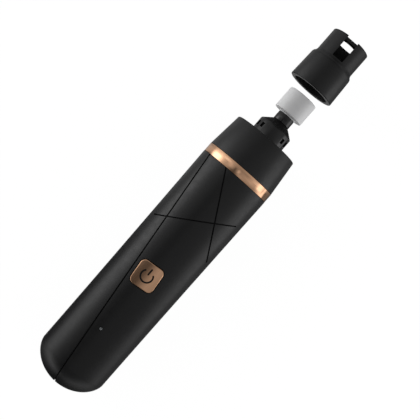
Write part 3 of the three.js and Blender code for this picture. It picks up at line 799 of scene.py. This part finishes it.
def charging_socket(materials):
    shell = prism("socket_sleeve", rounded_loop(8.94, 3.2, 1.55, 12), 1.2, 8.6, "x")
    cut(shell, prism("socket_room", rounded_loop(8.34, 2.6, 1.25, 12), 0, 8, "x"))
    smooth(shell)
    dress(shell, materials, "steel")
    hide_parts("charge_socket_shell")
    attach(shell, "handle")
    tongue = prism("socket_contacts", rounded_loop(6.6, 0.7, 0.2, 4), 2.2, 7.7, "x")
    dress(tongue, materials, "chip_black")
    tongue.data.materials.append(materials["copper"])
    for side in (1, -1):
        for i in range(12):
            y = (i - 5.5) * 0.5
            low, high = sorted((side * 0.3, side * 0.38))
            join(tongue, box("contact", (2.6, 6.5), (y - 0.13, y + 0.13), (low, high)))
    for face in tongue.data.polygons:
        if abs(face.center.z - AXIS_HEIGHT) > 0.352 * MM:
            face.material_index = 1
    smooth(tongue)
    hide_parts("charge_socket_tongue")
    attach(tongue, "handle")


# Button -------------------------------------------------------------------------------------------------

PAD_BOTTOM = 13.4
SYMBOL_RADIUS = 2.76
SYMBOL_STROKE = 0.76
SYMBOL_OPENING = 45.0
SYMBOL_BAR = (0.55, 3.85)
SYMBOL_DEPTH = 0.16
CROWN_SLACK = 0.004               # how far a point may lie from the crown and still be on it


def crown_height(y):
    """The height of the button's crown above the axis, at y."""
    top = housing_radius(BUTTON_STATION) + BUTTON_PROUD
    return top - BUTTON_CROWN + math.sqrt(BUTTON_CROWN ** 2 - y * y)


def crown(inset):
    """The inside of the button's crown, set in by a depth."""
    radius = BUTTON_CROWN - inset
    middle = housing_radius(BUTTON_STATION) + BUTTON_PROUD - BUTTON_CROWN
    start, end = BUTTON_STATION - BUTTON_LENGTH, BUTTON_STATION + BUTTON_LENGTH
    outline = [(start, 0), (start, radius), (end, radius), (end, 0)]
    return revolve("crown", outline, 3 * SHELL_SIDES, 0.0, middle)


def button_pad():
    """The crowned pad: a rounded rectangle under a shallow barrel, rounded at the rim."""
    rings = [(0.0, None), (0.0, -0.34), (0.03, -0.2), (0.1, -0.09), (0.2, -0.03), (0.34, 0.01), (0.34, 3.0)]
    bm = bmesh.new()
    previous = None
    for inset, rise in rings:
        loop = rounded_loop(
            BUTTON_LENGTH - 2 * inset, BUTTON_WIDTH - 2 * inset, BUTTON_CORNER - inset, 10,
            BUTTON_TURN, (BUTTON_STATION, 0.0))
        level = [PAD_BOTTOM if rise is None else crown_height(y) + rise for _, y in loop]
        if rise == 3.0:
            level = [crown_height(0) + rise] * len(loop)
        ring = [bm.verts.new(place(x, y, z)) for (x, y), z in zip(loop, level)]
        if previous:
            for i in range(len(ring)):
                j = (i + 1) % len(ring)
                bm.faces.new([previous[i], previous[j], ring[j], ring[i]])
        else:
            bm.faces.new(ring)
        previous = ring
    bm.faces.new(previous)
    return keep(from_bmesh("button_cap", bm), crown(0))


def crown_normals(pad):
    """Shades the top of the pad as the true barrel, so that its rim and symbol don't bend the reflections."""
    smooth(pad, 35)
    mesh = pad.data
    middle = AXIS_HEIGHT + (housing_radius(BUTTON_STATION) + BUTTON_PROUD - BUTTON_CROWN) * MM
    normals = [Vector((0.0, 0.0, 0.0))] * len(mesh.loops)
    for face in mesh.polygons:
        spokes = {}
        for index in face.loop_indices:
            point = mesh.vertices[mesh.loops[index].vertex_index].co
            spokes[index] = Vector((0.0, point.y, point.z - middle))
        if all(abs(spoke.length / MM - BUTTON_CROWN) < CROWN_SLACK for spoke in spokes.values()):
            for index, spoke in spokes.items():
                normals[index] = spoke.normalized()
    mesh.normals_split_custom_set(normals)


def symbol_parts():
    inner, outer = SYMBOL_RADIUS - SYMBOL_STROKE / 2, SYMBOL_RADIUS + SYMBOL_STROKE / 2
    arc = sector_loop(inner, outer, SYMBOL_OPENING, 360 - SYMBOL_OPENING, 48)
    low, high = SYMBOL_BAR
    half = SYMBOL_STROKE / 2
    bar = rounded_loop(high - low, SYMBOL_STROKE, half * 0.95, 6, 0.0, ((low + high) / 2, 0.0))
    return [[(BUTTON_STATION + x, y) for x, y in loop] for loop in (arc, bar)]


def power_button(materials):
    pad = button_pad()
    join(pad, prism("flange", rounded_loop(14.8, 8.0, 1.0, 6, 0.0, (BUTTON_STATION, 0.0)), 12.7, 13.8))
    for loop in symbol_parts():
        cut(pad, cut(prism("mark", loop, 14, 25), crown(SYMBOL_DEPTH)))
    crown_normals(pad)
    dress(pad, materials, "rose_gold_trim", "rose_gold_button")
    pad.data.materials.append(materials["symbol_fill"])
    for face in pad.data.polygons:
        x = station(face.center.x) - BUTTON_STATION
        y = face.center.y / MM
        depth = crown_height(y) - (face.center.z - AXIS_HEIGHT) / MM
        if 0.03 < depth < 0.5 and max(abs(x), abs(y)) < 4.3:
            face.material_index = 1
    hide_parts("power_button")
    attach(pad, "power_button")


# Spindle ------------------------------------------------------------------------------------------------

def sleeve(materials):
    end = CORE_START - NICE_GAP
    outline = rounded_outline([
        (136.8, 1.3, 0), (136.8, 2.4, 0), (SLEEVE_BACK, 2.4, 0), (SLEEVE_BACK, SLEEVE_RADIUS, 0.2),
        (end, SLEEVE_RADIUS, 0.12), (end, 1.6, 0), (159.2, 1.6, 0),
    ])
    outline = outline + [(159.2, 0.5), (149.5, 0.5), (149.5, 1.3)]
    piece = revolve("drive_sleeve", outline, 96)
    smooth(piece)
    dress(piece, materials, "gloss_black_plastic")
    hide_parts("arbor")
    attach(piece, "spindle")


def core_ring(materials):
    front = WHEEL_BACK - NICE_GAP
    outline = rounded_outline([
        (CORE_START, 1.9, 0), (CORE_START, CORE_RADIUS, 0.12), (front, CORE_RADIUS, 0.08),
        (front, 2.95, 0), (CORE_END, 2.95, 0), (CORE_END, 1.9, 0),
    ])
    piece = revolve("pale_core", outline, 96)
    smooth(piece)
    dress(piece, materials, "pale_plastic")
    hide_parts("wheel_core")
    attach(piece, "spindle")


BOWL_RADIUS = 5.4
BOWL_DEPTH = 5.0


def grinding_wheel(materials):
    sphere = (BOWL_RADIUS ** 2 + BOWL_DEPTH ** 2) / (2 * BOWL_DEPTH)
    centre = WHEEL_FRONT - BOWL_DEPTH + sphere
    widest = math.acos((centre - WHEEL_FRONT) / sphere)
    outline = [(159.8, 0.0), (159.8, 3.2), (WHEEL_BACK, 3.2)]
    outline += arc_corner(
        Vector((WHEEL_BACK, WHEEL_RADIUS - 0.2)), Vector((WHEEL_BACK + 0.2, WHEEL_RADIUS)),
        Vector((WHEEL_BACK, WHEEL_RADIUS)))
    outline += arc_corner(
        Vector((WHEEL_FRONT - 0.45, WHEEL_RADIUS)), Vector((WHEEL_FRONT, WHEEL_RADIUS - 0.45)),
        Vector((WHEEL_FRONT, WHEEL_RADIUS)))
    outline += arc_corner(
        Vector((WHEEL_FRONT, BOWL_RADIUS + 0.25)), Vector((WHEEL_FRONT - 0.2, BOWL_RADIUS - 0.02)),
        Vector((WHEEL_FRONT, BOWL_RADIUS)), 4)
    steps = 24
    for i in range(1, steps + 1):
        angle = widest * (1 - i / steps) * 0.985
        outline.append((centre - sphere * math.cos(angle), sphere * math.sin(angle)))
    wheel = revolve("abrasive_wheel", outline)
    smooth(wheel, 50)
    dress(wheel, materials, "grey_abrasive")
    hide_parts("grinding_wheel")
    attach(wheel, "spindle")


# Guard cap ----------------------------------------------------------------------------------------------

SKIRT_RADIUS = 10.67
SKIRT_END = CAP_MOUTH + 13.8
CAP_SHOULDER = 1.3
NOSE_RADIUS = 9.53
MOUTH_BORE = 8.7
NOSE_BORE = 8.1
CAP_PLATE = 1.5
SLOT_WIDTH = 5.5
SLOT_LENGTH = 10.95
SLOT_FLOOR = 5.0
SLOT_FLOOR_RADIUS = 3.1
PORT_WIDTH = 7.5
PORT_LENGTH = 2.15
PORT_TOP = 1.3
PORT_TOP_RADIUS = 4.5
SNAP_ANGLES = (45, 135, 225, 315)
SNAP_INNER = 8.42
SNAP_OUTER = 9.3
SNAP_HALF = 4.5                   # half of a snap rib's width, in degrees


def nail_slot():
    front = CAP_FRONT
    length = SLOT_LENGTH + 5
    wall = rounded_loop(length, SLOT_WIDTH, 0.5, 6, 0.0, (front - SLOT_LENGTH + length / 2, 0.0))
    side = prism("slot", wall, NOSE_RADIUS - 4.5, 30)
    half = SLOT_WIDTH / 2
    bend = math.asin(half / SLOT_FLOOR_RADIUS)
    loop = [(half, 30.0), (-half, 30.0)]
    steps = 12
    for i in range(steps + 1):
        angle = -math.pi / 2 - bend + 2 * bend * i / steps
        loop.append((
            SLOT_FLOOR_RADIUS * math.cos(angle),
            SLOT_FLOOR + SLOT_FLOOR_RADIUS + SLOT_FLOOR_RADIUS * math.sin(angle)))
    return join(side, prism("slot_end", loop, front - CAP_PLATE - 0.6, front + 5, "x"))


def nail_port():
    half = PORT_WIDTH / 2
    bend = math.asin(half / PORT_TOP_RADIUS)
    loop = [(-half, -30.0), (half, -30.0)]
    steps = 12
    for i in range(steps + 1):
        angle = math.pi / 2 - bend + 2 * bend * i / steps
        loop.append((
            PORT_TOP_RADIUS * math.cos(angle),
            PORT_TOP - PORT_TOP_RADIUS + PORT_TOP_RADIUS * math.sin(angle)))
    return prism("port", loop, CAP_FRONT - PORT_LENGTH, CAP_FRONT + 5, "x")


def guard_cap(materials):
    bore = rounded_outline([
        (CAP_MOUTH, MOUTH_BORE + 0.3, 0), (CAP_MOUTH, CAP_RADIUS, 0.4), (SKIRT_END, SKIRT_RADIUS, 0.6),
        (SKIRT_END + CAP_SHOULDER, NOSE_RADIUS, 0.8), (CAP_FRONT, NOSE_RADIUS, 0.4), (CAP_FRONT, 0.0, 0),
        (CAP_FRONT - CAP_PLATE, 0.0, 0), (CAP_FRONT - CAP_PLATE, NOSE_BORE, 0.3),
        (CAP_MOUTH + 12.8, NOSE_BORE, 0), (CAP_MOUTH + 12.0, MOUTH_BORE, 0), (CAP_MOUTH + 0.3, MOUTH_BORE, 0),
    ])
    cap = cut(revolve("slotted_cap", bore, SHELL_SIDES), nail_slot(), nail_port())
    for angle in SNAP_ANGLES:
        loop = sector_loop(SNAP_INNER, SNAP_OUTER, angle - SNAP_HALF, angle + SNAP_HALF, 4)
        join(cap, prism("rib", loop, CAP_MOUTH + 1.5, CAP_MOUTH + 4.5, "x"))
    smooth(cap, 35)
    dress(cap, materials, "satin_black_plastic")
    cap.data.materials.append(materials["painted_inside_shade"])
    # painted shade: the faces inside the cap's bore get the darker black
    for face in cap.data.polygons:
        across = math.hypot(face.center.y, face.center.z - AXIS_HEIGHT) / MM
        if across < MOUTH_BORE + 0.05 and station(face.center.x) < CAP_FRONT - CAP_PLATE + 0.05:
            face.material_index = 1
    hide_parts("guard_cap")
    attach(cap, "guard_cap")


# Studio -------------------------------------------------------------------------------------------------

def white_stage(name):
    """A bare white surface that glows by itself, so that it shows no shadow."""
    material = shader(name, (0.1, 0.1, 0.1), 0.9)
    bsdf = material.node_tree.nodes["Principled BSDF"]
    bsdf.inputs["Specular IOR Level"].default_value = 0.0
    bsdf.inputs["Emission Color"].default_value = (1.0, 1.0, 1.0, 1.0)
    bsdf.inputs["Emission Strength"].default_value = 0.97
    return material


def make_floor():
    """The floor, which reflections leave out, and the backdrop, which only the camera sees."""
    size = 3.0
    bm = bmesh.new()
    for x, y in ((-1, -1), (1, -1), (1, 1), (-1, 1)):
        bm.verts.new((x * size, y * size, -0.0002))
    bm.faces.new(bm.verts)
    floor = from_bmesh("floor", bm)
    floor.data.materials.append(white_stage("floor_white"))
    floor.visible_glossy = False
    bm = bmesh.new()
    bmesh.ops.create_icosphere(bm, subdivisions=4, radius=size)
    backdrop = from_bmesh("backdrop", bm)
    backdrop.data.materials.append(white_stage("backdrop_white"))
    backdrop.visible_glossy = False
    backdrop.visible_diffuse = False
    backdrop.visible_transmission = False
    backdrop.visible_shadow = False


SOFTBOX_SIZE = 0.8
SOFTBOX_PLACE = (0.1, 1.5, 0.42)  # in metres, mirrored for the other side
SOFTBOX_ENERGY = ((1, 3.0), (-1, 4.0))


def make_softboxes():
    """A soft light low on each side. The tent makes the reflections, so these add to matt surfaces only."""
    for side, energy in SOFTBOX_ENERGY:
        light = bpy.data.lights.new("softbox", "AREA")
        light.shape = "DISK"
        light.size = SOFTBOX_SIZE
        light.energy = energy
        softbox = bpy.data.objects.new("softbox", light)
        bpy.context.scene.collection.objects.link(softbox)
        spot = Vector((SOFTBOX_PLACE[0], side * SOFTBOX_PLACE[1], SOFTBOX_PLACE[2]))
        aim = spot.to_track_quat("Z", "Y").to_matrix().to_4x4()
        softbox.matrix_world = Matrix.Translation(spot) @ aim
        softbox.visible_glossy = False


# Light of the studio, by the angle about the handle's axis (degrees from straight up, towards +Y), and how it
# changes along the handle (-1 is the tail's direction, 1 the front's). This isn't a plain studio light. The
# first tent and HUB_TENT were worked out from grey levels read off the photograph, and the rest was
# adjusted until the render's grey levels agreed with it. The curves along the handle let the band, hub and
# cap each mostly reflect a curve of their own, which holds only from the camera's place.
REAR_TENT = [
    (-180, 0.03), (-150, 0.1), (-133, 0.22), (-116, 0.15), (-80, 0.24), (-60, 0.3), (-48, 0.34),
    (-34, 0.35), (-20, 0.39), (-10, 0.43), (-4, 0.33), (2, 0.19), (9, 0.09), (17, 0.1), (26, 0.22),
    (38, 0.42), (56, 0.5), (75, 0.56), (104, 0.2), (115, 0.1), (128, 0.03), (146, 0.03), (180, 0.03),
]
REAR_ALONG = [
    (-1, 0.45), (-0.3, 0.46), (-0.22, 0.54), (-0.155, 0.74), (-0.08, 0.92), (-0.06, 1.0), (0.0, 0),
    (1, 0),
]
BAND_TENT = [
    (-180, 0.05), (-150, 0.1), (-133, 0.15), (-118, 0.1), (-80, 0.35), (-60, 0.42), (-48, 0.44),
    (-34, 0.37), (-8, 0.26), (-4, 0.46), (-1, 0.56), (3, 0.3), (11, 0.05), (18, 0.28), (29, 0.53),
    (43, 0.38), (56, 0.5), (75, 0.6), (100, 0.46), (128, 0.42), (146, 0.4), (165, 0.3), (180, 0.05),
]
BAND_ALONG = [
    (-1, 0), (-0.06, 0), (0.0, 1.12), (0.068, 1.18), (0.086, 0), (1, 0),
]
HUB_TENT = [
    (-180, 0.05), (-130, 0.2), (-100, 0.5), (-88, 0.7), (-75, 0.85), (-63, 0.8), (-53, 0.6), (-42, 0.4),
    (-30, 0.27), (0, 0.25), (14, 0.3), (23, 0.4), (33, 0.65), (43, 1.0), (54, 1.05), (62, 0.8),
    (80, 0.5), (120, 0.4), (180, 0.05),
]
HUB_ALONG = [
    (-1, 0), (0.068, 0), (0.086, 1), (0.13, 1), (0.16, 0), (1, 0),
]
NOSE_TENT = [
    (-180, 0.05), (-150, 0.1), (-133, 0.2), (-120, 0.15), (-80, 0.35), (-60, 0.38), (-48, 0.38),
    (-34, 0.33), (-8, 0.25), (11, 0.24), (29, 0.34), (43, 0.36), (56, 0.38), (75, 0.4), (100, 0.28),
    (128, 0.34), (146, 0.34), (165, 0.2), (180, 0.05),
]
NOSE_ALONG = [
    (-1, 0), (0.13, 0), (0.16, 1.3), (0.27, 1.35), (0.6, 0.7), (1, 0.45),
]
LEFT_STRIP = [
    (-180, 0), (46, 0), (56, 0.2), (62, 0.6), (70, 1.5), (78, 1.95), (88, 2.0), (96, 1.75), (102, 1.0),
    (108, 0.2), (112, 0), (180, 0),
]
LEFT_ALONG = [
    (-1, 0.3), (-0.5, 0.3), (-0.23, 0.26), (-0.2, 0.36), (-0.155, 0.85), (-0.05, 1), (0.03, 1),
    (0.08, 0.4), (0.12, 0.2), (0.19, 0.08), (0.3, 0.04), (1, 0.04),
]
REAR_RIGHT_STRIP = [
    (-180, 0), (-119, 0), (-115, 0.95), (-108, 1.15), (-101, 1.1), (-93, 0.85), (-84, 0.45),
    (-76, 0.12), (-66, 0), (180, 0),
]
REAR_RIGHT_ALONG = [
    (-1, 0.2), (-0.5, 0.2), (-0.22, 0.22), (-0.155, 0.6), (-0.08, 0.88), (-0.02, 1.0), (0.03, 0),
    (1, 0),
]
FRONT_RIGHT_STRIP = [
    (-180, 0), (-116, 0), (-113, 1.0), (-107, 1.25), (-101, 0.5), (-96, 1.2), (-86, 1.45), (-78, 1.25),
    (-73, 0.45), (-66, 0), (180, 0),
]
FRONT_RIGHT_ALONG = [
    (-1, 0), (-0.02, 0), (0.03, 1.05), (0.07, 0.85), (0.1, 0.7), (0.19, 0.76), (0.27, 0.42), (0.5, 0.2),
    (1, 0.1),
]
END_GLOW = [
    (-180, 0), (-155, 0.03), (-130, 0.3), (-105, 0.75), (-75, 0.7), (-45, 0), (45, 0), (75, 0.8),
    (105, 0.9), (130, 0.35), (155, 0.03), (180, 0),
]
END_ALONG = [
    (-1, 0.42), (-0.5, 0.4), (-0.32, 0.12), (-0.22, 0), (0.4, 0), (0.7, 0.25), (1, 0.25),
]
FLOOR_GLOW = [
    (-180, 0.6), (-168, 0.5), (-155, 0), (155, 0), (168, 0.5), (180, 0.6),
]
FLOOR_ALONG = [
    (-1, 0), (-0.5, 0), (-0.35, 1), (-0.16, 1), (-0.08, 0), (1, 0),
]
STUDIO = (
    (REAR_TENT, REAR_ALONG), (BAND_TENT, BAND_ALONG), (HUB_TENT, HUB_ALONG), (NOSE_TENT, NOSE_ALONG),
    (LEFT_STRIP, LEFT_ALONG), (REAR_RIGHT_STRIP, REAR_RIGHT_ALONG), (FRONT_RIGHT_STRIP, FRONT_RIGHT_ALONG),
    (END_GLOW, END_ALONG), (FLOOR_GLOW, FLOOR_ALONG),
)


def profile(tree, source, points):
    """A number read from a line through the points."""
    first, last = points[0][0], points[-1][0]
    peak = max(value for _, value in points)
    share = tree.nodes.new("ShaderNodeMapRange")
    share.inputs["From Min"].default_value = first
    share.inputs["From Max"].default_value = last
    curve = tree.nodes.new("ShaderNodeFloatCurve")
    curve.mapping.use_clip = False
    line = curve.mapping.curves[0]
    for where, value in points[1:-1]:
        line.points.new((where - first) / (last - first), value / peak)
    line.points[0].location = (0.0, points[0][1] / peak)
    line.points[len(points) - 1].location = (1.0, points[-1][1] / peak)
    for point in line.points:
        point.handle_type = "VECTOR"
    curve.mapping.update()
    scale = arithmetic(tree, "MULTIPLY", curve.outputs["Value"], peak)
    tree.links.new(source, share.inputs["Value"])
    tree.links.new(share.outputs["Result"], curve.inputs["Value"])
    return scale


def arithmetic(tree, operation, first, second):
    made = tree.nodes.new("ShaderNodeMath")
    made.operation = operation
    for socket, value in zip(made.inputs, (first, second)):
        if isinstance(value, (int, float)):
            socket.default_value = value
        else:
            tree.links.new(value, socket)
    return made.outputs["Value"]


def make_world():
    world = bpy.data.worlds.new("tent")
    bpy.context.scene.world = world
    world.use_nodes = True
    tree = world.node_tree
    background = tree.nodes["Background"]
    background.inputs["Color"].default_value = (1.0, 1.0, 1.0, 1.0)
    coordinates = tree.nodes.new("ShaderNodeTexCoord")
    split = tree.nodes.new("ShaderNodeSeparateXYZ")
    tree.links.new(coordinates.outputs["Generated"], split.inputs["Vector"])
    turn = arithmetic(tree, "ARCTAN2", split.outputs["Y"], split.outputs["Z"])
    angle = arithmetic(tree, "MULTIPLY", turn, 180 / math.pi)
    along = split.outputs["X"]
    total = 0.0
    for around, lengthwise in STUDIO:
        light = arithmetic(tree, "MULTIPLY", profile(tree, angle, around), profile(tree, along, lengthwise))
        total = arithmetic(tree, "ADD", total, light)
    tree.links.new(total, background.inputs["Strength"])


def main():
    make_camera()
    materials = make_materials()
    dress_cad_nodes(materials)
    front_shell(materials)
    rear_shell(materials)
    trim_band(materials)
    nose_collar(materials)
    nose_hub(materials)
    indicator(materials)
    for name, along in HOUSING_SCREWS.items():
        housing_screw(materials, name, along)
    charging_socket(materials)
    power_button(materials)
    sleeve(materials)
    core_ring(materials)
    grinding_wheel(materials)
    guard_cap(materials)
    make_floor()
    make_softboxes()
    make_world()
    bpy.context.scene.view_settings.view_transform = "Standard"


main()
